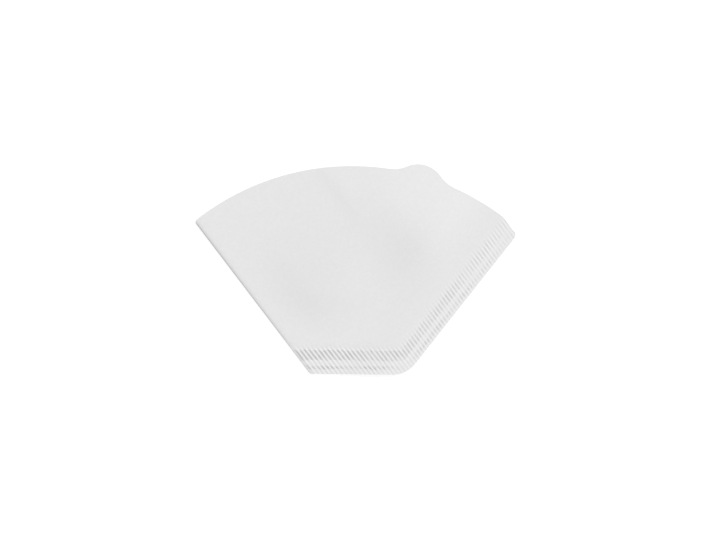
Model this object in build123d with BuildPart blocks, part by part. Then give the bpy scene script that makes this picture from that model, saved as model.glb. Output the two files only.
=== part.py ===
from build123d import *

import math
import os

# A fan of filter paper for a wedge-shaped coffee dripper, lying flat on its back.
# One sheet is folded along its left side and crimped along its right side and its foot.
# The sheet is laid out about the apex, where the lines of the fold and of the cut side meet.
# From there +Y runs up the middle of the fan, +Z up from the table. All sizes in millimetres.

# The fan's outline
half_angle = 37.75  # from the middle of the fan to the fold, and to the cut side
foot_width = 50.0
body_height = 107.8  # foot to the top of the mouth's arc
mouth_radius = 130.0

# The thumb tab on the mouth, towards the seam
tab_angle = 15.9
tab_rise = 5.85
tab_radius = 14.2
tab_fillet = 17.5

# The corners
foot_fold_corner = 2.5
foot_seam_corner = 15.0
fold_tip_corner = 1.8
seam_tip_corner = 2.2
seam_end_width = 11.6  # from the cut side to where the trim of the seam's end meets the mouth

# The paper, and how the upper ply stands off the lower one
ply = 0.2
parting = 0.1  # gap where a seam lets the plies go
fold_gap = 1.2  # gap inside the sprung fold, level with the tab's top
fold_side_gap = 2.5  # gap under the swell on the fold's side, there too
middle_gap = 2.0  # gap under the shallow dip between the swells
seam_side_gap = 2.7  # gap under the swell on the seam's side
fold_side_place = 0.43  # where that swell is, as a share of the way from the fold to the seam
middle_place = 0.58  # where the dip is, as a share of the same way
seam_side_place = 0.76  # where the swell on the seam's side is, as a share of it too

# The crimped seams, from the edge inwards: a margin, a narrow row, a space and a wide row
side_margin = 1.4
side_narrow_row = 2.1
side_space = 2.3
side_wide_row = 4.4
foot_margin = 2.5
foot_narrow_row = 1.8
foot_space = 2.7
foot_wide_row = 5.4
ridge_pitch = 1.923
first_groove = 1.1  # from the fold to the middle of the first groove
ridge_depth = 0.36
groove_flat = 0.36  # width of the flat groove between two ridges
seam_lip = 0.6  # plain bonded paper between the ridges and the pocket

# Worked out from the sizes above
slope = math.radians(half_angle)
foot_y = foot_width / 2 / math.tan(slope)
side_rows = side_margin + side_narrow_row + side_space + side_wide_row
foot_rows = foot_margin + foot_narrow_row + foot_space + foot_wide_row
side_seam = side_rows + seam_lip
foot_seam = foot_rows + seam_lip
mouth_centre = (-side_rows / 3.8 / math.cos(slope), foot_y + body_height - mouth_radius)
tab_reach = mouth_radius + tab_rise
tab_turn = math.radians(tab_angle)
tab_centre = (
    mouth_centre[0] + (tab_reach - tab_radius) * math.sin(tab_turn),
    mouth_centre[1] + (tab_reach - tab_radius) * math.cos(tab_turn),
)
pocket_foot_y = foot_y + foot_seam
top_y = mouth_centre[1] + tab_reach
beyond = 2 * tab_reach
tall = 4 * (seam_side_gap + 2 * ply)
trim_room = 0.02  # the rounded fold stops this far inside the line that trims the corners


def fold_x(y):
    """The fold's line, across from the middle of the fan."""
    return -y * math.tan(slope)


def seam_x(y, inside):
    """A line that runs along the cut side, a distance inside it."""
    return y * math.tan(slope) - inside / math.cos(slope)


def mouth_on_seam(inside):
    """Where the mouth's arc meets the line that runs inside the cut side."""
    across, up = mouth_centre
    centre_inside = up * math.sin(slope) - across * math.cos(slope)
    centre_along = across * math.sin(slope) + up * math.cos(slope)
    along = centre_along + math.sqrt(mouth_radius**2 - (centre_inside - inside) ** 2)
    return Vector(
        along * math.sin(slope) - inside * math.cos(slope),
        along * math.cos(slope) + inside * math.sin(slope),
    )


def seam_strip(side_near, side_far, foot_near, foot_far):
    """A strip that follows the cut side and the foot, between two distances inside each."""
    near_y = foot_y + foot_near
    far_y = foot_y + foot_far
    return Polyline(
        (fold_x(near_y) - beyond, near_y),
        (seam_x(near_y, side_near), near_y),
        (seam_x(beyond, side_near), beyond),
        (seam_x(beyond, side_far), beyond),
        (seam_x(far_y, side_far), far_y),
        (fold_x(far_y) - beyond, far_y),
        close=True,
    )


# The flat outline: the mouth's arc with its tab, cut to the fan.
# The seam's end is cut along the fold's direction, from the mouth down to the cut side.
seam_end = mouth_on_seam(seam_end_width)
fold_way = Vector(-math.sin(slope), math.cos(slope))
seam_tip_drop = seam_end_width / math.sin(2 * slope)
seam_tip = seam_end - fold_way * seam_tip_drop

with BuildSketch() as blank:
    with Locations(mouth_centre):
        Circle(mouth_radius)
    with Locations(tab_centre):
        Circle(tab_radius)
    for tab_corner in blank.vertices().sort_by(Axis.Y)[-2:]:
        fillet(blank.vertices().sort_by_distance(tab_corner)[0], tab_fillet)
    with BuildLine():
        Polyline(
            (fold_x(foot_y), foot_y),
            (seam_x(foot_y, 0), foot_y),
            seam_tip,
            seam_end + fold_way * beyond,
            (fold_x(beyond), beyond),
            close=True,
        )
    make_face(mode=Mode.INTERSECT)
    fillet(blank.vertices().group_by(Axis.Y)[0].sort_by(Axis.X)[0], foot_fold_corner)
    fillet(blank.vertices().group_by(Axis.Y)[0].sort_by(Axis.X)[-1], foot_seam_corner)
    fillet(blank.vertices().sort_by(Axis.X)[0], fold_tip_corner)
    fillet(blank.vertices().sort_by(Axis.X)[-1], seam_tip_corner)

# The part's origin is under the middle of its outline, so the apex lies off it.
middle = blank.sketch.bounding_box().center()
sheet = Plane(origin=(-middle.X, -middle.Y, 0))

with BuildSketch(sheet) as seam_area:
    with BuildLine():
        seam_strip(-beyond, side_seam, -beyond, foot_seam)
    make_face()
    add(blank.sketch, mode=Mode.INTERSECT)

with BuildSketch(sheet) as row_area:
    with BuildLine():
        seam_strip(
            side_margin,
            side_margin + side_narrow_row,
            foot_margin,
            foot_margin + foot_narrow_row,
        )
    make_face()
    with BuildLine():
        seam_strip(side_rows - side_wide_row, side_rows, foot_rows - foot_wide_row, foot_rows)
    make_face()
    add(blank.sketch, mode=Mode.INTERSECT)


def cross_plane(y):
    """An upright plane across the fan, seen from its foot."""
    return Plane(origin=sheet.from_local_coords((0, y, 0)), x_dir=(1, 0, 0), z_dir=(0, -1, 0))


def pocket_section(y, share, inset):
    """A section of the two plies, with the fold on the left and the seam on the right.

    The gaps between the plies grow by share, from the parting at the foot to their full size.
    With an inset of one ply the section is that of the space inside. It reaches a ply deeper
    than it should, so that a flat cut can finish it.
    """
    left = fold_x(y) + trim_room + inset
    right = seam_x(y, side_seam)
    width = right - left

    def upper(gap):
        return parting + (gap - parting) * share + 2 * ply - inset

    radius = (upper(fold_gap) - inset) / 2
    fold_top = (left + radius, upper(fold_gap))
    fold_foot = (left + radius, inset)
    Polyline(fold_foot, (left + radius, inset - ply), (right, inset - ply), (right, upper(parting)))
    Spline(
        (right, upper(parting)),
        (left + seam_side_place * width, upper(seam_side_gap)),
        (left + middle_place * width, upper(middle_gap)),
        (left + fold_side_place * width, upper(fold_side_gap)),
        fold_top,
        tangents=[(-1, 0), (-1, 0)],
    )
    ThreePointArc(fold_top, (left, inset + radius), fold_foot)


def pocket_form(inset):
    """The pocket's outer form, or with an inset of one ply the space inside it."""
    with BuildPart() as form:
        with BuildSketch(cross_plane(pocket_foot_y)):
            with BuildLine():
                pocket_section(pocket_foot_y, 0, inset)
            make_face()
        with BuildSketch(cross_plane(top_y)):
            with BuildLine():
                pocket_section(top_y, 1, inset)
            make_face()
        loft(ruled=True)
        with BuildSketch(sheet.offset(inset)):
            add(blank.sketch)
        extrude(amount=tall, mode=Mode.INTERSECT)
    return form.part


# The pocket: a lower ply that lies flat, a rounded fold, and an upper ply that swells a little.
outside = pocket_form(0)
inside = pocket_form(ply)
with BuildPart() as pocket:
    add(outside)
    add(inside, mode=Mode.SUBTRACT)

# The crimp: both plies pressed together into ridges that run along the fold's direction.
# A groove's underside lies level with the lower ply's, and a ridge stands up by its depth.
far_tip = seam_tip.X * math.cos(slope) + seam_tip.Y * math.sin(slope)
ridge_count = math.ceil(far_tip / ridge_pitch)
ridge_plane = Plane(
    origin=sheet.origin,
    x_dir=(math.cos(slope), math.sin(slope), 0),
    z_dir=(math.sin(slope), -math.cos(slope), 0),
)


def ridge_line(base):
    """The pressed paper's upper or lower line: a flat groove and a ridge in each pitch."""
    points = []
    for n in range(-1, ridge_count + 1):
        groove = first_groove + n * ridge_pitch
        crest = groove + ridge_pitch / 2
        points += [
            (groove - groove_flat / 2, base),
            (groove + groove_flat / 2, base),
            (crest, base + ridge_depth),
        ]
    return points


with BuildPart() as crimp:
    with BuildSketch(ridge_plane):
        with BuildLine():
            Polyline(*ridge_line(0), *reversed(ridge_line(2 * ply)), close=True)
        make_face()
    extrude(amount=beyond, both=True)
    extrude(row_area.sketch, amount=tall, mode=Mode.INTERSECT)

# The whole filter: pocket, crimped rows and the flat paper between and beside the rows.
with BuildPart() as filter_paper:
    with BuildSketch(sheet):
        add(seam_area.sketch_local)
        add(row_area.sketch_local, mode=Mode.SUBTRACT)
    extrude(amount=2 * ply)
    add(crimp.part)
    add(pocket.part)

filter_paper.part.label = "filter_paper"
os.makedirs("parts", exist_ok=True)
export_step(filter_paper.part, "parts/filter_paper.step")
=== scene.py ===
"""A paper filter for pour-over coffee, dressed as a photographed thing on a pale table.

One sheet of bleached paper is folded down its left side and crimped along its right side and
its foot. It lies on its back, so its lower ply is flat and its upper ply swells a little.
"""

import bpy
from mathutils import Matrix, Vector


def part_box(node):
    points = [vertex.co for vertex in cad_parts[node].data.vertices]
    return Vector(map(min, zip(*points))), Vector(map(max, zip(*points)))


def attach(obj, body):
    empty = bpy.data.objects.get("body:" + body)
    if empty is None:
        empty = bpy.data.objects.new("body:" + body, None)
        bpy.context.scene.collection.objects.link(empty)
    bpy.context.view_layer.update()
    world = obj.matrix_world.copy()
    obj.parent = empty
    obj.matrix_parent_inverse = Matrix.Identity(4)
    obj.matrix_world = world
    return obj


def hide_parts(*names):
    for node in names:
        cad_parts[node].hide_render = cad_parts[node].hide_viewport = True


bl_info = {
    "name": "Cone Coffee Filter",
    "version": (1, 0, 0),
    "blender": (4, 5, 0),
    "location": "3D View > Sidebar > Coffee Filter",
    "description": "Makes a folded and crimped paper coffee filter, with its table, light and camera",
    "category": "Add Mesh",
}

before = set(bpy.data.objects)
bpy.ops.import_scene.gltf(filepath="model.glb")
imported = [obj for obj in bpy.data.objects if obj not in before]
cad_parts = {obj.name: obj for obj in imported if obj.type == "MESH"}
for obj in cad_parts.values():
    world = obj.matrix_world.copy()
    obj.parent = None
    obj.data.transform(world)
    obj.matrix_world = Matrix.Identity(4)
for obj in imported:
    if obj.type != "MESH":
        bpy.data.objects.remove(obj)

import math

import bmesh
import bpy
import numpy as np
from bpy.props import FloatProperty, FloatVectorProperty, IntProperty, PointerProperty
from mathutils import Vector
from mathutils.geometry import delaunay_2d_cdt

MM = 0.001
CAD_NODE = "filter_paper"


def length(name, millimetres, description):
    """A size that a user can change, shown as a length."""
    return FloatProperty(
        name=name,
        description=description,
        default=millimetres * MM,
        precision=5,
        subtype="DISTANCE",
        unit="LENGTH",
    )


def angle(name, degrees, description):
    """A turn that a user can change."""
    return FloatProperty(
        name=name, description=description, default=math.radians(degrees), subtype="ANGLE"
    )


def factor(name, share, description):
    """A plain share or strength that a user can change."""
    return FloatProperty(name=name, description=description, default=share, precision=3)


def colour(name, red, green, blue, description):
    """A linear colour that a user can change."""
    return FloatVectorProperty(
        name=name,
        description=description,
        default=(red, green, blue, 1.0),
        size=4,
        min=0.0,
        max=1.0,
        subtype="COLOR",
    )


class FanOutline(bpy.types.PropertyGroup):
    """The flat outline of the folded sheet."""

    half_angle: angle("Half angle", 37.75, "From the middle of the fan to either side")
    foot_width: length("Foot width", 50.0, "Along the foot, before its corners are rounded")
    body_height: length("Body height", 107.8, "From the foot to the top of the mouth's arc")
    mouth_radius: length("Mouth radius", 130.0, "Radius of the mouth's arc")
    tab_angle: angle("Tab angle", 15.9, "From the middle of the mouth to the thumb tab")
    tab_rise: length("Tab rise", 5.85, "How far the thumb tab stands out of the mouth's arc")
    tab_radius: length("Tab radius", 14.2, "Radius of the thumb tab's crown")
    tab_fillet: length("Tab fillet", 17.5, "Radius where the thumb tab runs into the arc")
    foot_fold_corner: length("Foot corner at the fold", 2.5, "Radius of that corner")
    foot_seam_corner: length("Foot corner at the seam", 15.0, "Radius of that corner")
    fold_tip_corner: length("Tip at the fold", 1.8, "Radius where the fold meets the mouth")
    seam_tip_corner: length("Tip at the seam", 2.2, "Radius where the seam's end is cut off")
    seam_end_width: length("Seam end width", 11.6, "From the cut side to the end of the trim")


class FilterPaper(bpy.types.PropertyGroup):
    """The paper, and how the upper ply stands off the lower one."""

    ply: length("Ply", 0.2, "Thickness of one ply")
    parting: length("Parting", 0.1, "Least gap between the plies past the seams")
    parting_run: length("Parting run", 4.0, "How far from a seam the plies take to part")
    fold_room: length("Fold room", 0.02, "How far the rounded fold stays inside the outline")
    fold_reach: length("Fold reach", 1.6, "How far in from its edge the fold stays rounded")
    fold_pinch: factor("Fold pinch", 1.4, "1 for a round fold, more for one that is pinched sharp")
    fold_gap: length("Gap in the fold", 0.55, "Inside the sprung fold, level with the tab")
    seam_run: length("Seam run", 26.0, "How far from fold and side seam the upper ply is held down")
    foot_run: length("Foot run", 30.0, "How far from the foot's seam the upper ply is held down")


def swell_settings(right, up, way, reach, width, far_width, height):
    """The settings of a long soft swell of the upper ply. Its middle is given from the apex where
    the fold and the cut side would meet."""
    return {
        "right": length("Right", right, "Its middle, right of the middle of the fan"),
        "up": length("Up", up, "Its middle, up from the apex"),
        "way": angle("Direction", way, "Of its crest, from straight right towards straight up"),
        "reach": length("Reach", reach, "How far along its crest it fades"),
        "width": length("Width", width, "How far it fades on its left"),
        "far_width": length("Far width", far_width, "How far it fades on its right"),
        "height": length("Height", height, "How far it lifts the upper ply"),
    }


class FoldSwell(bpy.types.PropertyGroup):
    """A swell of the upper ply, on the fold's side."""

    __annotations__ = swell_settings(
        right=-8.5, up=94.0, way=61.0, reach=26.5, width=20.5, far_width=15.0, height=1.25
    )


class SeamSwell(bpy.types.PropertyGroup):
    """A swell of the upper ply, on the crimped side."""

    __annotations__ = swell_settings(
        right=30.0, up=111.0, way=131.0, reach=24.0, width=16.5, far_width=26.0, height=1.85
    )


class MouthCrease(bpy.types.PropertyGroup):
    """A faint crease, narrower than a swell, that runs into the upper ply from the mouth."""

    __annotations__ = swell_settings(
        right=-10.1, up=129.0, way=126.0, reach=13.0, width=3.2, far_width=5.0, height=0.14
    )


class CrimpedSeams(bpy.types.PropertyGroup):
    """The rows of ridges that hold the two plies together."""

    side_margin: length("Side margin", 1.4, "Paper outside the rows, along the side")
    side_narrow_row: length("Side narrow row", 2.1, "Outer row of ridges, along the side")
    side_space: length("Side space", 2.3, "Between the two rows, along the side")
    side_wide_row: length("Side wide row", 4.4, "Inner row of ridges, along the side")
    foot_margin: length("Foot margin", 2.5, "Paper outside the rows, along the foot")
    foot_narrow_row: length("Foot narrow row", 1.8, "Outer row of ridges, along the foot")
    foot_space: length("Foot space", 2.7, "Between the two rows, along the foot")
    foot_wide_row: length("Foot wide row", 5.4, "Inner row of ridges, along the foot")
    seam_lip: length("Seam lip", 0.6, "Plain bonded paper between the rows and the pocket")
    ridge_pitch: length("Ridge pitch", 1.923, "From one ridge to the next")
    first_groove: length("First groove", 1.1, "How far it lies inside the fold")
    ridge_depth: length("Ridge depth", 0.175, "From a groove up to a ridge, at its strongest")
    side_share: factor("Side share", 0.64, "Ridge depth along the side, as a share of the foot's")
    row_fade: length("Row fade", 0.3, "How far a row's ridges take to rise or fade")
    raggedness: length("Raggedness", 0.3, "How far the ridges' ends stray from their row's edge")
    lift_run: length("Lift run", 7.0, "How far the paper takes to come back down to the table")
    side_curl: length("Side curl", 0.85, "How far the side's crimp rises from its cut edge inwards")
    curl_run: length("Curl run", 22.0, "How far the paper takes to come down from the side's curl")
    faint_ridges: factor("Faint ridges", 0.42, "Ridges left between and beside the rows")
    faint_run: length("Faint run", 6.5, "How far past the rows the faint ridges fade out")
    corner_ease: factor("Corner ease", 0.75, "How much the outer row fades at the wide corner")
    corner_run: length("Corner run", 6.0, "How far along that fading reaches")
    # Tip ease and tip run fade the painted groove shade towards the seam's end.
    tip_ease: factor("Tip ease", 0.7, "How much paler the crimp is at the seam's end")
    tip_run: length("Tip run", 60.0, "How far from the seam's end it starts to grow paler")
    middling: factor("Middling ridge", 0.72, "Depth of a middling ridge, as a share of the most")
    weakest: factor("Weakest ridge", 0.4, "Depth of the weakest ridge, as a share of the most")
    unevenness: factor("Unevenness", 1.5, "How much the ridges differ in depth")
    fine_grain: length("Fine grain", 2.6, "Size of small patches that differ in depth")
    broad_grain: length("Broad grain", 17.0, "Size of broad patches that differ in depth")
    wander: length("Wander", 0.3, "How far the ridges wander off their pitch")
    wander_grain: length("Wander grain", 9.0, "Size of patches that wander together")
    # Crest relief sets how much less painted shade a crest gets than a groove.
    crest_relief: factor("Crest relief", 0.5, "How much less a crest is pressed than a groove")
    seed: IntProperty(name="Seed", description="Seed of the unevenness", default=7)


class SheetFinish(bpy.types.PropertyGroup):
    """How the paper's surface looks."""

    bright: colour("Bright paper", 0.812, 0.812, 0.812, "Where the fibres lie thick")
    dull: colour("Dull paper", 0.772, 0.772, 0.772, "Where the fibres lie thin")
    # Painted shade: a darker paper colour laid into the crimp's grooves, where shade falls.
    groove_shade: colour("Pressed paper", 0.65, 0.65, 0.65, "Where the crimp's teeth pressed the fibres")
    roughness: factor("Roughness", 0.92, "Roughness of the paper")
    specular: factor("Specular", 0.25, "Strength of the faint shine")
    cloud_grain: length("Cloud grain", 1.6, "Size of the cloudy patches in the paper")
    fibre_grain: length("Fibre grain", 1.1, "Length of the fibres that show")
    fibre_stretch: factor("Fibre stretch", 9.0, "How much longer than wide a fibre is")
    tooth: length("Tooth", 0.03, "Height of the paper's fine grain")
    tooth_grain: length("Tooth grain", 0.22, "Size of the paper's fine grain")
    tooth_strength: factor("Tooth strength", 0.8, "How strongly the fine grain takes the light")


class TableLook(bpy.types.PropertyGroup):
    """The table, the light and the camera."""

    table_size: length("Table size", 6000.0, "Edge of the square table")
    table_drop: length("Table drop", 0.05, "How far the table lies under the paper")
    table_colour: colour("Table colour", 0.8, 0.8, 0.8, "Colour that the table throws back")
    table_shade: colour("Table shade", 0.18, 0.18, 0.18, "What the table shows of light and shadow")
    table_glow: factor("Table glow", 0.88, "How white the table is seen under no light at all")
    sky_strength: factor("Sky strength", 0.55, "Brightness of the light from all round")
    lamp_strength: factor("Lamp strength", 0.45, "Brightness that the lamp gives a flat sheet")
    lamp_height: angle("Lamp height", 25.0, "How high the lamp stands over the table")
    lamp_way: angle("Lamp direction", 40.0, "From straight right towards straight up")
    lamp_softness: angle("Lamp softness", 14.0, "How wide the lamp looks from the paper")
    lens: FloatProperty(name="Lens", description="Focal length, in millimetres", default=85.0)
    view_width: length("View width", 371.1, "Width of the table that the picture takes in")
    view_roll: angle("View roll", 0.5, "Turn of the camera about its own line of sight")
    view_right: length("View right", 1.43, "Middle of the picture, right of the part's middle")
    view_down: length("View down", 0.45, "Middle of the picture, below the part's middle")


# How finely the sheet is divided. The seam band's columns come in whole groups.
BAND_COLUMNS_PER_RIDGE = 10
BAND_COLUMN_GROUP = 8
BAND_ROWS = 48
FOLD_STEPS = 10
POCKET_STEP = 2.0 * MM
MOUTH_STEP = 1.0 * MM
# How many samples of the mouth's edge its even steps are read from, and of its tip at the fold
MOUTH_SAMPLES = 4000
TIP_SAMPLES = 1000
# Rows of points that thin out from the seam into the pocket: how far in, every how many columns
THINNING_ROWS = ((0.3 * MM, 2), (0.75 * MM, 2), (1.4 * MM, 2), (2.1 * MM, 4), (3.2 * MM, 6))
# Least room between a point and the lines beside it, as a share of the spacing of the points
LATTICE_ROOM = 0.6
THINNING_ROOM = 0.8
# What the division into triangles is told: keep to the inside, and merge points this close
INSIDE_ONLY = 1
MERGE_WITHIN = 1e-6
# An edge that turns by more than this stays sharp.
SHARP_ANGLE = math.radians(45)
# The mouth's centre lies off the middle of the fan, by the side's rows divided by this.
MOUTH_SHIFT_DIVISOR = 3.8


def smooth_step(value, low, high):
    """Rises smoothly from 0 at low to 1 at high."""
    share = np.clip((value - low) / (high - low), 0.0, 1.0)
    return share * share * (3.0 - 2.0 * share)


class Fan:
    """The sheet's shape. A place on it is given by how far it lies from the fold's line, and how
    far along that line, from the apex where the two sides would meet."""

    def __init__(self, outline, paper, seams, swells):
        self.outline = outline
        self.paper = paper
        self.seams = seams
        self.swells = swells
        half = outline.half_angle
        self.sin = math.sin(half)
        self.cos = math.cos(half)
        self.wedge_sin = math.sin(2 * half)
        self.wedge_cos = math.cos(2 * half)
        self.foot_y = outline.foot_width / 2 / math.tan(half)
        # Lines through the seams, each given by how far inside the cut side and the foot it runs
        self.narrow_start = self.seam_widths("margin")
        self.narrow_end = self.narrow_start + self.seam_widths("narrow_row")
        self.wide_start = self.narrow_end + self.seam_widths("space")
        self.wide_end = self.wide_start + self.seam_widths("wide_row")
        self.seam = self.wide_end + seams.seam_lip
        self.pocket_y = self.foot_y + self.seam[1]
        # Where the flat paper starts beside the fold, and how the fold goes round from there
        self.flat_start = paper.fold_room + paper.fold_reach
        self.fold_turns = np.linspace(0.0, math.pi, FOLD_STEPS + 1)[1:-1]
        self.fold_outward = np.sin(self.fold_turns) ** paper.fold_pinch
        self.set_mouth(outline)
        self.set_corners(outline)
        # For each groove, how far its two ends stray in the narrow row, and in the wide one
        grooves = math.ceil(self.end_across / seams.ridge_pitch) + 2
        self.stray = np.random.RandomState(seams.seed).uniform(-1.0, 1.0, (4, grooves))

    def seam_widths(self, part):
        """How wide a part of the seams is, along the cut side and along the foot."""
        return np.array([getattr(self.seams, f"{edge}_{part}") for edge in ("side", "foot")])

    def to_xy(self, across, along):
        """A place's x, right of the middle of the fan, and y, up from the apex."""
        return across * self.cos - along * self.sin, across * self.sin + along * self.cos

    def from_xy(self, x, y):
        """The way back: how far a place lies from the fold's line, and how far along it."""
        return x * self.cos + y * self.sin, y * self.cos - x * self.sin

    def inside_foot(self, across, along):
        """How far a place lies inside the foot."""
        return across * self.sin + along * self.cos - self.foot_y

    def inside_side(self, across, along):
        """How far a place lies inside the cut side."""
        return along * self.wedge_sin - across * self.wedge_cos

    def past(self, line, across, along):
        """How far a place lies past a line that runs inside the cut side and the foot."""
        return np.minimum(
            self.inside_side(across, along) - line[0], self.inside_foot(across, along) - line[1]
        )

    def along_foot(self, across, inside):
        """Where a line inside the foot runs."""
        return (self.foot_y + inside - across * self.sin) / self.cos

    def along_side(self, across, inside):
        """Where a line inside the cut side runs."""
        return (across * self.wedge_cos + inside) / self.wedge_sin

    def seam_line(self, across, further=0.0):
        """The line where the seams end and the pocket starts, or one further into the pocket."""
        return np.maximum(
            self.along_foot(across, self.seam[1] + further),
            self.along_side(across, self.seam[0] + further),
        )

    def set_mouth(self, outline):
        """Works out the mouth's arc, its tab, and where the seam's end is cut off."""
        side_rows = self.wide_end[0]
        centre_x = -side_rows / MOUTH_SHIFT_DIVISOR / self.cos
        centre_y = self.foot_y + outline.body_height - outline.mouth_radius
        self.mouth = Vector(self.from_xy(centre_x, centre_y))
        radius = outline.mouth_radius
        reach = radius + outline.tab_rise
        self.top_y = centre_y + reach
        self.tab_way = outline.tab_angle + outline.half_angle
        self.tab_out = reach - outline.tab_radius
        self.fillet_out = radius + outline.tab_fillet
        crown_to_fillet = outline.tab_radius + outline.tab_fillet
        self.fillet_turn = math.acos(
            (self.tab_out**2 + self.fillet_out**2 - crown_to_fillet**2)
            / (2 * self.tab_out * self.fillet_out)
        )
        fillet = Vector((math.sin(self.fillet_turn), math.cos(self.fillet_turn))) * self.fillet_out
        crown = Vector((0.0, self.tab_out))
        meeting = crown + (fillet - crown) * (outline.tab_radius / crown_to_fillet)
        self.crown_turn = math.atan2(meeting.x, meeting.y)

        # The seam's end is cut off along the fold's direction, from where the mouth meets a line
        # that runs inside the cut side.
        inside = outline.seam_end_width
        mouth_inside = self.inside_side(*self.mouth)
        mouth_up = self.mouth.x * self.wedge_sin + self.mouth.y * self.wedge_cos
        up = mouth_up + math.sqrt(radius**2 - (mouth_inside - inside) ** 2)
        self.end_across = up * self.wedge_sin - inside * self.wedge_cos
        self.end_turn = math.asin((self.end_across - self.mouth.x) / radius)

        # The rounded tip where the fold meets the mouth
        corner = outline.fold_tip_corner
        tip_along = math.sqrt((radius - corner) ** 2 - (corner - self.mouth.x) ** 2)
        self.tip_centre = Vector((corner, self.mouth.y + tip_along))
        self.tip_turn = math.atan2(corner - self.mouth.x, tip_along)

    def mouth_reach(self, turn):
        """How far the mouth's edge lies from its centre, a turn away from the tab's middle."""
        turn = np.abs(turn)
        crown_root = self.outline.tab_radius**2 - (self.tab_out * np.sin(turn)) ** 2
        crown = self.tab_out * np.cos(turn) + np.sqrt(np.maximum(crown_root, 0.0))
        away = self.fillet_turn - turn
        fillet_root = self.outline.tab_fillet**2 - (self.fillet_out * np.sin(away)) ** 2
        fillet = self.fillet_out * np.cos(away) - np.sqrt(np.maximum(fillet_root, 0.0))
        arc = np.full_like(turn, self.outline.mouth_radius)
        return np.where(turn < self.crown_turn, crown, np.where(turn < self.fillet_turn, fillet, arc))

    def mouth_edge(self, first_across, step):
        """Places along the mouth's edge, evenly spaced, from the fold's side to the seam's end."""
        corner = self.outline.fold_tip_corner
        lean = np.linspace(-math.pi / 2, self.tip_turn, TIP_SAMPLES)
        tip = self.tip_centre.x + corner * np.sin(lean), self.tip_centre.y + corner * np.cos(lean)
        turn = np.linspace(self.tip_turn, self.end_turn, MOUTH_SAMPLES)
        reach = self.mouth_reach(turn - self.tab_way)
        arc = self.mouth.x + reach * np.sin(turn), self.mouth.y + reach * np.cos(turn)
        across = np.concatenate((tip[0][:-1], arc[0]))
        along = np.concatenate((tip[1][:-1], arc[1]))
        run = np.concatenate(((0.0,), np.cumsum(np.hypot(np.diff(across), np.diff(along)))))
        start = np.interp(first_across, tip[0], run[: len(tip[0])])
        count = round((run[-1] - start) / step)
        places = np.linspace(start, run[-1], count + 1)
        return np.interp(places, run, across), np.interp(places, run, along)

    def tip_line(self, across):
        """The mouth's edge within the rounded tip at the fold."""
        corner = self.outline.fold_tip_corner
        drop = corner**2 - (across - self.tip_centre.x) ** 2
        return self.tip_centre.y + np.sqrt(np.maximum(drop, 0.0))

    def set_corners(self, outline):
        """Works out the rounded corners of the foot and of the seam's end."""
        first = outline.foot_fold_corner
        second = outline.foot_seam_corner
        third = outline.seam_tip_corner
        # The wide corner's centre lies its radius inside both the foot and the cut side.
        matrix = ((self.sin, self.cos), (-self.wedge_cos, self.wedge_sin))
        across, along = np.linalg.solve(matrix, (self.foot_y + second, second))
        end = self.end_across - third
        # For each corner: its centre, its radius, and from where to where it reaches across
        self.corners = (
            (first, self.along_foot(first, first), first, 0.0, first * (1 - self.sin)),
            (across, along, second, across - second * self.sin, across + second * self.wedge_cos),
            (end, self.along_side(end, third), third, end + third * self.wedge_cos, self.end_across),
        )

    def cut_line(self, across):
        """The outline along the foot and the cut side, with its rounded corners."""
        along = np.maximum(self.along_foot(across, 0.0), self.along_side(across, 0.0))
        for centre_across, centre_along, radius, low, high in self.corners:
            root = np.maximum(radius**2 - (across - centre_across) ** 2, 0.0)
            rounded = (across >= low) & (across <= high)
            along = np.where(rounded, centre_along - np.sqrt(root), along)
        return along

    def opening_share(self, y):
        """How far the pocket has opened at y, as a share of its opening level with the tab."""
        return np.clip((y - self.pocket_y) / (self.top_y - self.pocket_y), 0.0, 1.0)

    def fold_radius(self, y):
        """Outer radius of the rounded fold. Within the seam the fold is pressed flat."""
        parting = self.paper.parting * smooth_step(y - self.pocket_y, 0.0, self.paper.parting_run)
        opening = self.opening_share(y) * (self.paper.fold_gap - self.paper.parting)
        return self.paper.ply + (opening + parting) / 2

    def fold_line(self, outward, inset):
        """Places along a line on the rounded fold, with the fold's outer radius at each. The line
        lies a share of the fold's reach outward, and an inset of one ply is for the inner side."""
        line = self.flat_start - (self.paper.fold_reach - inset) * outward
        start = self.seam_line(line)
        steps = round((self.top_y - self.pocket_y) / POCKET_STEP)
        run = start + (self.tip_line(line) - start) * np.linspace(0.0, 1.0, steps + 1)
        return np.full_like(run, line), run, self.fold_radius(line * self.sin + run * self.cos)

    def gap(self, across, along):
        """The gap between the plies."""
        x, y = self.to_xy(across, along)
        past_fold = np.maximum(across - self.flat_start, 0.0)
        from_side = self.inside_side(across, along) - self.seam[0]
        from_foot = self.inside_foot(across, along) - self.seam[1]
        swell = 0.0
        for form in self.swells:
            right, up = x - form.right, y - form.up
            run = right * math.cos(form.way) + up * math.sin(form.way)
            off = up * math.cos(form.way) - right * math.sin(form.way)
            off = off / np.where(off > 0.0, form.width, form.far_width)
            swell += form.height * np.exp(-((run / form.reach) ** 2 + off**2) / 2)
        swell *= smooth_step(from_foot, 0.0, self.paper.foot_run)
        swell *= smooth_step(past_fold, 0.0, self.paper.seam_run)
        opened = self.opening_share(y) * (self.paper.fold_gap - self.paper.parting)
        held = smooth_step(from_side, 0.0, self.paper.seam_run)
        from_seam = np.minimum(from_foot, from_side)
        parting = self.paper.parting * smooth_step(from_seam, 0.0, self.paper.parting_run)
        return (opened + swell) * held + parting

    def in_row(self, across, along, start, end, stray):
        """How far a place takes part in a row of ridges between two lines inside the outline."""
        fade = self.seams.row_fade
        past_start = self.past(start, across, along) + stray[0]
        before_end = stray[1] - self.past(end, across, along)
        return smooth_step(past_start, -fade, fade) * smooth_step(before_end, -fade, fade)

    def rows(self, across, along):
        """How far a place takes part in the two rows of ridges."""
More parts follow.
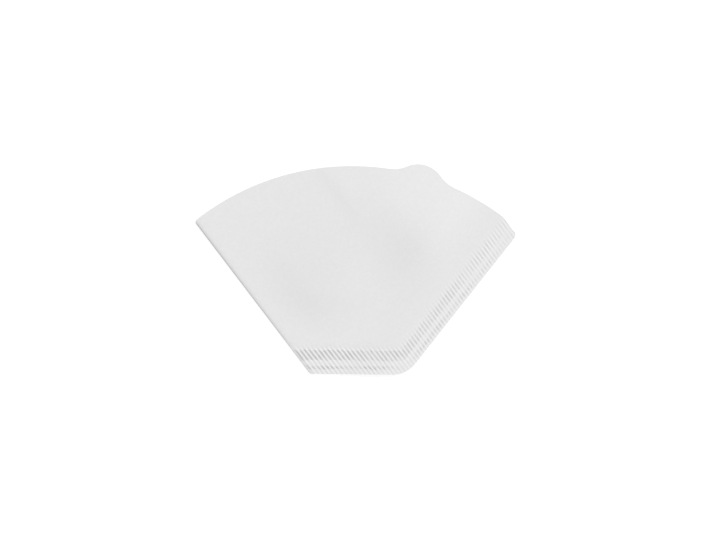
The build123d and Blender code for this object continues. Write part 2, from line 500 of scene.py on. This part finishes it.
        # From one crest to the next, the ends of the groove between them stray together.
        groove = (across - self.seams.first_groove) / self.seams.ridge_pitch + 0.5
        stray = self.stray[:, np.floor(groove).astype(int) + 1] * self.seams.raggedness
        narrow = self.in_row(across, along, self.narrow_start, self.narrow_end, stray[:2])
        near_corner = (across - self.corners[1][0]) / self.seams.corner_run
        narrow = narrow * (1.0 - self.seams.corner_ease * np.exp(-(near_corner**2)))
        wide = self.in_row(across, along, self.wide_start, self.wide_end, stray[2:])
        return np.maximum(narrow, wide)

    def ridges(self, rows, across, along):
        """How high the ridges are: less along the side, and faint between and beside the rows."""
        past_rows = self.past(self.wide_end, across, along)
        faint = 1.0 - smooth_step(past_rows, 0.0, self.seams.faint_run)
        # Past the corner, the side's share sets in over twice the width of the foot's wide row.
        nearer_side = self.inside_foot(across, along) - self.inside_side(across, along)
        side = smooth_step(nearer_side, 0.0, 2 * self.seams.foot_wide_row)
        share = 1.0 - (1.0 - self.seams.side_share) * side
        return share * np.maximum(rows, self.seams.faint_ridges * faint)

    def groove_shade_rows(self, rows, across):
        """How strongly the rows take the painted groove shade: less towards the seam's end."""
        end = smooth_step(across, self.end_across - self.seams.tip_run, self.end_across)
        return rows * (1.0 - self.seams.tip_ease * end)

    def lift(self, across, along):
        """How far the plain paper is carried up by the ridges and by the side's curl."""
        past_rows = self.past(self.wide_end, across, along)
        carried = 1.0 - smooth_step(past_rows, 0.0, self.seams.lift_run)
        side = self.inside_side(across, along)
        curl = np.clip(side / self.wide_end[0], 0.0, 1.0)
        curl *= 1.0 - smooth_step(side - self.wide_end[0], 0.0, self.seams.curl_run)
        return self.seams.ridge_depth / 2 * carried + self.seams.side_curl * curl


class SheetMesh:
    """Gathers the sheet's points and faces."""

    def __init__(self):
        self.places = []
        self.faces = []
        self.count = 0

    def points(self, across, along, height):
        """Adds points and returns their numbers, in the same rows and columns."""
        across, along, height = np.broadcast_arrays(across, along, height)
        self.places.append(np.stack((across, along, height), -1).reshape(-1, 3))
        numbers = self.count + np.arange(across.size).reshape(across.shape)
        self.count += across.size
        return numbers

    def face(self, numbers):
        """Adds a face, leaving out a corner that comes twice."""
        kept = [n for i, n in enumerate(numbers) if n != numbers[i - 1]]
        if len(kept) > 2:
            self.faces.append(kept)

    def grid(self, numbers):
        """Adds faces between neighbouring rows and columns of points."""
        quads = np.stack(
            (numbers[:-1, :-1], numbers[:-1, 1:], numbers[1:, 1:], numbers[1:, :-1]), -1
        )
        for quad in quads.reshape(-1, 4).tolist():
            self.face(quad)


class PocketPlan:
    """The pocket's plan, divided into triangles. Its places start with a ring: along the seams,
    back along the mouth, and down the fold."""

    def __init__(self, fan, columns):
        fold = np.stack(fan.fold_line(0.0, 0.0)[:2], -1)
        mouth = np.stack(fan.mouth_edge(fold[-1, 0], MOUTH_STEP), -1)
        mouth[0] = fold[-1]
        seam = np.stack((columns, fan.seam_line(columns)), -1)
        ring = np.concatenate((seam, mouth[::-1], fold[1:-1][::-1]))
        self.seam_end = len(seam)
        self.mouth_end = self.seam_end + len(mouth)
        self.ring_end = len(ring)
        self.places = np.concatenate((ring, self.inner_places(fan, columns, ring)))
        self.triangles = self.divide()

    def inner_places(self, fan, columns, ring):
        """Places inside the ring: rows that thin out from the seams, and then an even lattice."""
        parts = []
        for further, every in THINNING_ROWS:
            across = columns[every::every]
            parts.append((across, fan.seam_line(across, further), np.full_like(across, further)))
        # The lattice's triangles have equal sides, so its rows lie closer than its points.
        row_height = POCKET_STEP * math.sqrt(0.75)
        low, high = ring.min(0), ring.max(0)
        for i, along in enumerate(np.arange(low[1], high[1], row_height)):
            across = np.arange(low[0] + (i % 2) * POCKET_STEP / 2, high[0], POCKET_STEP)
            parts.append((across, np.full_like(across, along), np.full_like(across, POCKET_STEP)))
        across, along, spacing = (np.concatenate(part) for part in zip(*parts))

        lattice = spacing == POCKET_STEP
        room = spacing * np.where(lattice, LATTICE_ROOM, THINNING_ROOM)
        turn = np.arctan2(across - fan.mouth.x, along - fan.mouth.y) - fan.tab_way
        from_mouth = fan.mouth_reach(turn) - np.hypot(across - fan.mouth.x, along - fan.mouth.y)
        kept = (across - fan.flat_start > room) & (fan.end_across - across > room)
        kept &= from_mouth > room
        past_last_row = fan.past(fan.seam, across, along) - THINNING_ROWS[-1][0]
        kept &= ~lattice | (past_last_row > LATTICE_ROOM * POCKET_STEP)
        return np.stack((across[kept], along[kept]), -1)

    def divide(self):
        """Joins the places into triangles that fill the ring."""
        edges = [(i, (i + 1) % self.ring_end) for i in range(self.ring_end)]
        flat = [Vector((across / MM, along / MM)) for across, along in self.places]
        found = delaunay_2d_cdt(flat, edges, [], INSIDE_ONLY, MERGE_WITHIN)
        sources = [source[0] if source else None for source in found[3]]
        if None in sources or len(found[0]) != len(self.places):
            raise RuntimeError("the pocket's plan has an edge that crosses another")
        return [[sources[i] for i in face] for face in found[2]]

    def add_layer(self, mesh, on_seam, height):
        """Adds one surface of the pocket, joined to the points that it shares along the seam.
        Returns its points along the mouth, from the fold, and along the fold, from the foot."""
        across, along = self.places[self.seam_end :].T
        free = mesh.points(across, along, height[self.seam_end :])
        numbers = np.concatenate((on_seam, free))
        for corners in self.triangles:
            mesh.face(numbers[corners].tolist())
        mouth = numbers[self.seam_end : self.mouth_end][::-1]
        fold = numbers[self.mouth_end : self.ring_end][::-1]
        return mouth, np.concatenate((numbers[:1], fold, mouth[:1]))


def add_seam_band(mesh, fan, columns):
    """Adds the seam band, both plies pressed together from the outline in to the pocket. Returns
    its points on top, underneath and round its folded side."""
    ply = fan.paper.ply
    share = np.linspace(0.0, 1.0, BAND_ROWS + 1)[:, None]

    def rows(across):
        """Places from the outline in to the pocket."""
        return fan.cut_line(across) * (1 - share) + fan.seam_line(across) * share

    top = mesh.points(columns, rows(columns), 2 * ply)
    bottom = mesh.points(columns, rows(columns), 0.0)
    mesh.grid(top)
    mesh.grid(bottom)
    mesh.grid(np.stack((top[0], bottom[0])))

    # The pressed fold at the band's side, and its end at the foot
    across = fan.flat_start - fan.paper.fold_reach * fan.fold_outward
    rounded = mesh.points(across, rows(across), ply * (1 + np.cos(fan.fold_turns)))
    fold = np.column_stack((top[:, 0], rounded, bottom[:, 0]))
    mesh.grid(fold)
    for j in range(FOLD_STEPS // 2):
        first, last = fold[0, j : j + 2], fold[0, FOLD_STEPS - j - 1 : FOLD_STEPS - j + 1]
        mesh.face([*first.tolist(), *last.tolist()])
    return top, bottom, fold


def add_sprung_fold(mesh, fan, starts, outer_edges, inner_edges):
    """Adds the rounded fold beside the pocket, outside and inside, between two edges of each.
    Returns its points on the mouth's rim."""
    ply = fan.paper.ply
    outer = [outer_edges[0]]
    inner = [inner_edges[0]]
    for start, turn, outward in zip(starts, fan.fold_turns, fan.fold_outward):
        across, along, radius = fan.fold_line(outward, 0.0)
        height = radius * (1 + math.cos(turn))
        outer.append([start, *mesh.points(across[1:], along[1:], height[1:])])
        across, along, radius = fan.fold_line(outward, ply)
        height = radius + (radius - ply) * math.cos(turn)
        inner.append([inner_edges[0][0], *mesh.points(across[1:], along[1:], height[1:])])
    outer = np.array([*outer, outer_edges[1]])
    inner = np.array([*inner, inner_edges[1]])
    mesh.grid(outer)
    mesh.grid(inner)
    return outer[1:-1, -1], inner[1:-1, -1]


def make_sheet_mesh(fan):
    """The whole sheet as one closed shell, with its ridges still flat."""
    mesh = SheetMesh()
    ply = fan.paper.ply
    column_step = fan.seams.ridge_pitch / BAND_COLUMNS_PER_RIDGE
    groups = math.ceil(fan.end_across / column_step / BAND_COLUMN_GROUP)
    columns = np.linspace(fan.flat_start, fan.end_across, BAND_COLUMN_GROUP * groups + 1)
    band_top, band_bottom, band_fold = add_seam_band(mesh, fan, columns)

    # Four surfaces share the pocket's plan: the upper ply's two sides and the lower ply's two.
    plan = PocketPlan(fan, columns)
    gap = fan.gap(*plan.places.T)
    flat = np.zeros_like(gap)
    joint = mesh.points(columns, fan.seam_line(columns), ply)
    top_mouth, top_fold = plan.add_layer(mesh, band_top[-1], gap + 2 * ply)
    under_mouth, under_fold = plan.add_layer(mesh, joint, gap + ply)
    floor_mouth, floor_fold = plan.add_layer(mesh, joint, flat + ply)
    bottom_mouth, bottom_fold = plan.add_layer(mesh, band_bottom[-1], flat)
    outer_edges = (top_fold, bottom_fold)
    inner_edges = (under_fold, floor_fold)
    rims = add_sprung_fold(mesh, fan, band_fold[-1, 1:-1], outer_edges, inner_edges)

    # The rim runs along the upper ply's mouth, round the fold and back along the lower ply's.
    outside = (band_top[-1, -1:], top_mouth[::-1], rims[0], bottom_mouth, band_bottom[-1, -1:])
    inside = (joint[-1:], under_mouth[::-1], rims[1], floor_mouth, joint[-1:])
    mesh.grid(np.array((np.concatenate(outside), np.concatenate(inside))))

    # The cut at the seam's end
    mesh.grid(np.stack((band_top[:-1, -1], band_bottom[:-1, -1])))
    last = (band_top[-2, -1], band_top[-1, -1], joint[-1], band_bottom[-1, -1], band_bottom[-2, -1])
    mesh.face([int(number) for number in last])
    return np.concatenate(mesh.places), mesh.faces


def add_object(name, data):
    """Puts an object with its data into the scene."""
    item = bpy.data.objects.new(name, data)
    bpy.context.scene.collection.objects.link(item)
    return item


def make_flat_sheet(fan, name):
    """Puts the shell in the part's frame, with what the ridges need to know at each point."""
    places, faces = make_sheet_mesh(fan)
    across, along, height = places.T
    x, y = fan.to_xy(across, along)
    low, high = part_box(CAD_NODE)
    x += (low.x + high.x) / 2 - (x.min() + x.max()) / 2
    y += (low.y + high.y) / 2 - (y.min() + y.max()) / 2

    data = bpy.data.meshes.new(name)
    data.from_pydata(np.stack((x, y, height), -1).tolist(), [], faces)
    rows = fan.rows(across, along)
    measures = {
        "fold_distance": across,
        "groove_shade_rows": fan.groove_shade_rows(rows, across),
        "ridges": fan.ridges(rows, across, along),
        "lift": fan.lift(across, along),
    }
    for label, values in measures.items():
        data.attributes.new(label, "FLOAT", "POINT").data.foreach_set("value", values)

    shell = bmesh.new()
    shell.from_mesh(data)
    bmesh.ops.recalc_face_normals(shell, faces=shell.faces)
    loose = [edge for edge in shell.edges if not edge.is_manifold]
    if loose:
        raise RuntimeError(f"the sheet isn't closed: {len(loose)} edges are loose")
    for edge in shell.edges:
        edge.smooth = edge.calc_face_angle() < SHARP_ANGLE
    shell.to_mesh(data)
    shell.free()
    return add_object(name, data)


class NodeChain:
    """Short ways to add and join nodes in a tree."""

    def __init__(self, tree):
        self.tree = tree

    def node(self, kind, inputs=None, **values):
        """Adds a node, with some of its properties set and some of its inputs joined or set."""
        node = self.tree.nodes.new(kind)
        for key, value in values.items():
            setattr(node, key, value)
        for key, source in (inputs or {}).items():
            if isinstance(source, bpy.types.NodeSocket):
                self.tree.links.new(source, node.inputs[key])
            else:
                node.inputs[key].default_value = source
        return node

    def math(self, operation, *values):
        """Adds a sum on one or two values, and returns its result."""
        inputs = dict(enumerate(values))
        return self.node("ShaderNodeMath", inputs, operation=operation).outputs[0]


def cleared(owner):
    """The emptied tree of a material or a world."""
    owner.use_nodes = True
    owner.node_tree.nodes.clear()
    return NodeChain(owner.node_tree)


# The settings of the crimped seams that the tree takes
CRIMP_SETTINGS = (
    "ridge_pitch",
    "first_groove",
    "ridge_depth",
    "middling",
    "weakest",
    "unevenness",
    "fine_grain",
    "broad_grain",
    "wander",
    "wander_grain",
    "crest_relief",
    "seed",
)
# What is added to the seed, so that the noises differ
WANDER_SHIFT = 0.0
FINE_SHIFT = 31.0
BROAD_SHIFT = 57.0
# A noise lies about this value.
NOISE_MIDDLE = 0.5
# How finely the unevenness is broken up
CRIMP_DETAIL = 1.0


def input_name(setting):
    """The name of the tree's input for a setting."""
    return setting.replace("_", " ").title()


def crimp_tree():
    """The tree that presses the ridges into the flat seams, and stores where the paper gets painted
    groove shade.
    """
    tree = bpy.data.node_groups.new("crimp_ridges", "GeometryNodeTree")
    add = tree.interface.new_socket
    add("Sheet", in_out="INPUT", socket_type="NodeSocketGeometry")
    for setting in CRIMP_SETTINGS:
        add(input_name(setting), in_out="INPUT", socket_type="NodeSocketFloat")
    add("Paper", in_out="INPUT", socket_type="NodeSocketMaterial")
    add("Sheet", in_out="OUTPUT", socket_type="NodeSocketGeometry")
    chain = NodeChain(tree)
    given = chain.node("NodeGroupInput").outputs

    def measure(name):
        """What the flat sheet stores under a name."""
        node = chain.node("GeometryNodeInputNamedAttribute", {"Name": name}, data_type="FLOAT")
        return node.outputs["Attribute"]

    def noise(grain, seed_shift):
        """Noise that leaves out the height, so that it is the same on both sides of the paper."""
        inputs = {
            "Vector": plan,
            "W": chain.math("ADD", given["Seed"], seed_shift),
            "Scale": chain.math("DIVIDE", 1.0, grain),
            "Detail": CRIMP_DETAIL,
        }
        return chain.node("ShaderNodeTexNoise", inputs, noise_dimensions="4D").outputs[0]

    inputs = {0: chain.node("GeometryNodeInputPosition").outputs[0], 1: (1.0, 1.0, 0.0)}
    plan = chain.node("ShaderNodeVectorMath", inputs, operation="MULTIPLY").outputs[0]

    # The ridges are a wave that is -0.5 in a groove and 0.5 on a crest.
    off_pitch = chain.math("SUBTRACT", noise(given["Wander Grain"], WANDER_SHIFT), NOISE_MIDDLE)
    off_pitch = chain.math("MULTIPLY", off_pitch, given["Wander"])
    from_groove = chain.math("SUBTRACT", measure("fold_distance"), given["First Groove"])
    place = chain.math("ADD", from_groove, off_pitch)
    turns = chain.math("DIVIDE", place, given["Ridge Pitch"])
    wave = chain.math("COSINE", chain.math("MULTIPLY", turns, 2 * math.pi))
    crest = chain.math("MULTIPLY", wave, -0.5)

    # Two noises make the ridges uneven, between the weakest and the strongest.
    fine = noise(given["Fine Grain"], FINE_SHIFT)
    broad = noise(given["Broad Grain"], BROAD_SHIFT)
    uneven = chain.math("SUBTRACT", chain.math("ADD", fine, broad), 2 * NOISE_MIDDLE)
    uneven = chain.math("MULTIPLY", uneven, given["Unevenness"])
    share = chain.math("ADD", uneven, given["Middling"])
    share = chain.math("MAXIMUM", chain.math("MINIMUM", share, 1.0), given["Weakest"])
    strength = chain.math("MULTIPLY", measure("ridges"), share)
    wavy = chain.math("MULTIPLY", chain.math("MULTIPLY", crest, strength), given["Ridge Depth"])
    rise = chain.node("ShaderNodeCombineXYZ", {"Z": chain.math("ADD", measure("lift"), wavy)})

    # How much painted shade each place gets, for the paper's colour: most in a groove
    shade_spared = chain.math("MULTIPLY", chain.math("ADD", crest, 0.5), given["Crest Relief"])
    groove_shade = chain.math("SUBTRACT", 1.0, shade_spared)
    for shade_factor in (strength, measure("groove_shade_rows")):
        groove_shade = chain.math("MULTIPLY", groove_shade, shade_factor)
    inputs = {"Geometry": given["Sheet"], "Name": "groove_shade", "Value": groove_shade}
    keep = chain.node("GeometryNodeStoreNamedAttribute", inputs, data_type="FLOAT", domain="POINT")

    inputs = {"Geometry": keep.outputs[0], "Offset": rise.outputs[0]}
    move = chain.node("GeometryNodeSetPosition", inputs)
    whole = chain.node("GeometryNodeRealizeInstances", {0: move.outputs[0]})
    inputs = {"Geometry": whole.outputs[0], "Material": given["Paper"]}
    finish = chain.node("GeometryNodeSetMaterial", inputs)
    chain.node("NodeGroupOutput", {0: finish.outputs[0]})
    return tree


def press_ridges(sheet, seams, paper):
    """Runs the tree on the sheet and keeps its result as a plain mesh."""
    tree = crimp_tree()
    values = {input_name(setting): float(getattr(seams, setting)) for setting in CRIMP_SETTINGS}
    values["Paper"] = paper
    modifier = sheet.modifiers.new("crimp", "NODES")
    modifier.node_group = tree
    for item in tree.interface.items_tree:
        if item.in_out == "INPUT" and item.name in values:
            modifier[item.identifier] = values[item.name]
    sheet.update_tag()
    graph = bpy.context.evaluated_depsgraph_get()
    flat = sheet.data
    sheet.data = bpy.data.meshes.new_from_object(sheet.evaluated_get(graph), depsgraph=graph)
    sheet.modifiers.remove(modifier)
    bpy.data.meshes.remove(flat)
    sheet.data.name = sheet.name
    sheet.data.polygons.foreach_set("use_smooth", [True] * len(sheet.data.polygons))


# The ways that the paper's fibres lie
FIBRE_TURNS = (0.4, 1.5, 2.6)
# How finely the clouds and the fibres are broken up
CLOUD_DETAIL = 3.0
FIBRE_DETAIL = 2.0
# Up to the first value of the paper's pattern the fibres lie thin, and from the second on thick.
THIN_FIBRES = 0.35
THICK_FIBRES = 0.7
# The share of the fibres in the paper's tone, and of the fine grain in its tooth
FIBRES_IN_TONE = 0.5
GRAIN_IN_TOOTH = 0.45
# Where a Mix node for colours has its two colours, and its result
MIX_FIRST, MIX_SECOND, MIX_RESULT = 6, 7, 2


def paper_material(finish):
    """Bleached filter paper: matte, with a cloudy spread of short fibres and a fine tooth, and
    painted shade in the crimp's grooves.
    """
    material = bpy.data.materials.new("bleached_filter_paper")
    chain = cleared(material)
    place = chain.node("ShaderNodeTexCoord").outputs["Object"]

    def noise(grain, detail, turn=0.0, stretch=1.0):
        """Noise of a given grain. A stretch draws it out into fibres that lie along a turn."""
        inputs = {"Vector": place, "Rotation": (0.0, 0.0, turn), "Scale": (1.0, stretch, 1.0)}
        mapping = chain.node("ShaderNodeMapping", inputs)
        inputs = {"Vector": mapping.outputs[0], "Scale": 1 / grain, "Detail": detail}
        return chain.node("ShaderNodeTexNoise", inputs).outputs[0]

    def mix(first, second, share):
        """Two patterns in one, the second with a share of it."""
        rest = chain.math("MULTIPLY", first, 1 - share)
        return chain.math("ADD", rest, chain.math("MULTIPLY", second, share))

    def blend(share, first, second):
        """A colour between two."""
        inputs = {0: share, MIX_FIRST: first, MIX_SECOND: second}
        return chain.node("ShaderNodeMix", inputs, data_type="RGBA").outputs[MIX_RESULT]

    clouds = noise(finish.cloud_grain, CLOUD_DETAIL)
    layers = [
        noise(finish.fibre_grain, FIBRE_DETAIL, turn, finish.fibre_stretch) for turn in FIBRE_TURNS
    ]
    fibres = layers[0]
    for layer in layers[1:]:
        fibres = chain.math("MAXIMUM", fibres, layer)

    pattern = mix(clouds, fibres, FIBRES_IN_TONE)
    inputs = {"Value": pattern, "From Min": THIN_FIBRES, "From Max": THICK_FIBRES}
    ramp = chain.node("ShaderNodeMapRange", inputs)
    plain = blend(ramp.outputs[0], finish.dull, finish.bright)
    # Painted shade: the colour darkens towards the groove shade colour where the tree stored it.
    crimp = chain.node("ShaderNodeAttribute", attribute_name="groove_shade")
    paper_with_groove_shade = blend(crimp.outputs["Fac"], plain, finish.groove_shade)

    grain = noise(finish.tooth_grain, FIBRE_DETAIL)
    inputs = {
        "Height": mix(fibres, grain, GRAIN_IN_TOOTH),
        "Distance": finish.tooth,
        "Strength": finish.tooth_strength,
    }
    bump = chain.node("ShaderNodeBump", inputs)
    inputs = {
        "Base Color": paper_with_groove_shade,
        "Roughness": finish.roughness,
        "Specular IOR Level": finish.specular,
        "Normal": bump.outputs[0],
    }
    shader = chain.node("ShaderNodeBsdfPrincipled", inputs)
    chain.node("ShaderNodeOutputMaterial", {0: shader.outputs[0]})
    return material


def seen_directly(chain):
    """1 for what the camera sees, straight or through gloss or glass, and 0 for other light."""
    path = chain.node("ShaderNodeLightPath")
    seen = chain.math("MAXIMUM", path.outputs["Is Camera Ray"], path.outputs["Is Glossy Ray"])
    return chain.math("MAXIMUM", seen, path.outputs["Is Transmission Ray"])


def table_material(look):
    """A white table that still takes the sheet's soft shadow."""
    material = bpy.data.materials.new("white_table")
    chain = cleared(material)
    plain = chain.node("ShaderNodeBsdfDiffuse", {"Color": look.table_colour})
    shaded = chain.node("ShaderNodeBsdfDiffuse", {"Color": look.table_shade})
    glow = chain.node("ShaderNodeEmission", {"Strength": look.table_glow})
    bright = chain.node("ShaderNodeAddShader", {0: shaded.outputs[0], 1: glow.outputs[0]})
    inputs = {0: seen_directly(chain), 1: plain.outputs[0], 2: bright.outputs[0]}
    choice = chain.node("ShaderNodeMixShader", inputs)
    chain.node("ShaderNodeOutputMaterial", {0: choice.outputs[0]})
    return material


def set_world(look):
    """Even light from all round, and white where the camera sees past the table."""
    world = bpy.data.worlds.new("pale_room")
    bpy.context.scene.world = world
    chain = cleared(world)
    white = chain.math("MULTIPLY", seen_directly(chain), 1.0 - look.sky_strength)
    strength = chain.math("ADD", white, look.sky_strength)
    inputs = {"Color": (1.0, 1.0, 1.0, 1.0), "Strength": strength}
    background = chain.node("ShaderNodeBackground", inputs)
    chain.node("ShaderNodeOutputWorld", {0: background.outputs[0]})


def add_table(look):
    """A wide flat table, just under the sheet."""
    half = look.table_size / 2
    corners = ((-half, -half), (half, -half), (half, half), (-half, half))
    data = bpy.data.meshes.new("table")
    data.from_pydata([(x, y, -look.table_drop) for x, y in corners], [], [(0, 1, 2, 3)])
    data.materials.append(table_material(look))
    table = add_object("table", data)


def add_lamp(look):
    """One soft lamp that shines in low from the picture's upper right."""
    lamp = bpy.data.lights.new("window_light", "SUN")
    lamp.angle = look.lamp_softness
    lamp.energy = math.pi * look.lamp_strength / math.sin(look.lamp_height)
    flat = math.cos(look.lamp_height)
    right, up = flat * math.cos(look.lamp_way), flat * math.sin(look.lamp_way)
    source = Vector((right, up, math.sin(look.lamp_height)))
    holder = add_object("window_light", lamp)
    holder.rotation_euler = source.to_track_quat("Z", "Y").to_euler()
    holder.location = source


def add_camera(look):
    """A camera that looks straight down on the sheet."""
    low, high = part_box(CAD_NODE)
    lens = bpy.data.cameras.new("camera")
    lens.lens = look.lens
    lens.clip_start = 10 * MM
    distance = look.view_width * look.lens / lens.sensor_width
    camera = add_object("camera", lens)
    camera.location = (
        (low.x + high.x) / 2 + look.view_right,
        (low.y + high.y) / 2 - look.view_down,
        distance,
    )
    camera.rotation_euler = (0.0, 0.0, look.view_roll)
    bpy.context.scene.camera = camera


class COFFEEFILTER_OT_make_sheet(bpy.types.Operator):
    """Make the folded and crimped sheet"""

    bl_idname = "coffeefilter.make_sheet"
    bl_label = "Make Sheet"

    def execute(self, context):
        scene = context.scene
        swells = (scene.fold_swell, scene.seam_swell, scene.mouth_crease)
        fan = Fan(scene.fan_outline, scene.filter_paper, scene.crimped_seams, swells)
        sheet = make_flat_sheet(fan, "filter_sheet")
        press_ridges(sheet, scene.crimped_seams, paper_material(scene.sheet_finish))
        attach(sheet, "root")
        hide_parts(CAD_NODE)
        return {"FINISHED"}


class COFFEEFILTER_OT_make_stage(bpy.types.Operator):
    """Make the table, the light and the camera"""

    bl_idname = "coffeefilter.make_stage"
    bl_label = "Make Stage"

    def execute(self, context):
        look = context.scene.table_look
        context.scene.view_settings.view_transform = "Standard"
        add_table(look)
        set_world(look)
        add_lamp(look)
        add_camera(look)
        return {"FINISHED"}


SETTINGS = {
    "fan_outline": FanOutline,
    "filter_paper": FilterPaper,
    "fold_swell": FoldSwell,
    "seam_swell": SeamSwell,
    "mouth_crease": MouthCrease,
    "crimped_seams": CrimpedSeams,
    "sheet_finish": SheetFinish,
    "table_look": TableLook,
}


class COFFEEFILTER_PT_panel(bpy.types.Panel):
    """Lists the filter's pieces and their sizes"""

    bl_label = "Coffee Filter"
    bl_idname = "COFFEEFILTER_PT_panel"
    bl_space_type = "VIEW_3D"
    bl_region_type = "UI"
    bl_category = "Coffee Filter"

    def draw(self, context):
        layout = self.layout
        layout.operator(COFFEEFILTER_OT_make_sheet.bl_idname)
        layout.operator(COFFEEFILTER_OT_make_stage.bl_idname)
        for place, group in SETTINGS.items():
            box = layout.box()
            box.label(text=place.replace("_", " ").capitalize())
            for name in group.__annotations__:
                box.prop(getattr(context.scene, place), name)


CLASSES = (
    *SETTINGS.values(),
    COFFEEFILTER_OT_make_sheet,
    COFFEEFILTER_OT_make_stage,
    COFFEEFILTER_PT_panel,
)


def register():
    """Adds the classes and the settings to Blender."""
    for item in CLASSES:
        bpy.utils.register_class(item)
    for place, group in SETTINGS.items():
        setattr(bpy.types.Scene, place, PointerProperty(type=group))


def unregister():
    """Takes them out again."""
    for place in SETTINGS:
        delattr(bpy.types.Scene, place)
    for item in reversed(CLASSES):
        bpy.utils.unregister_class(item)


def main():
    """Makes the dressed filter and its stage."""
    register()
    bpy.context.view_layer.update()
    bpy.ops.coffeefilter.make_sheet()
    bpy.ops.coffeefilter.make_stage()


if __name__ == "__main__":
    main()
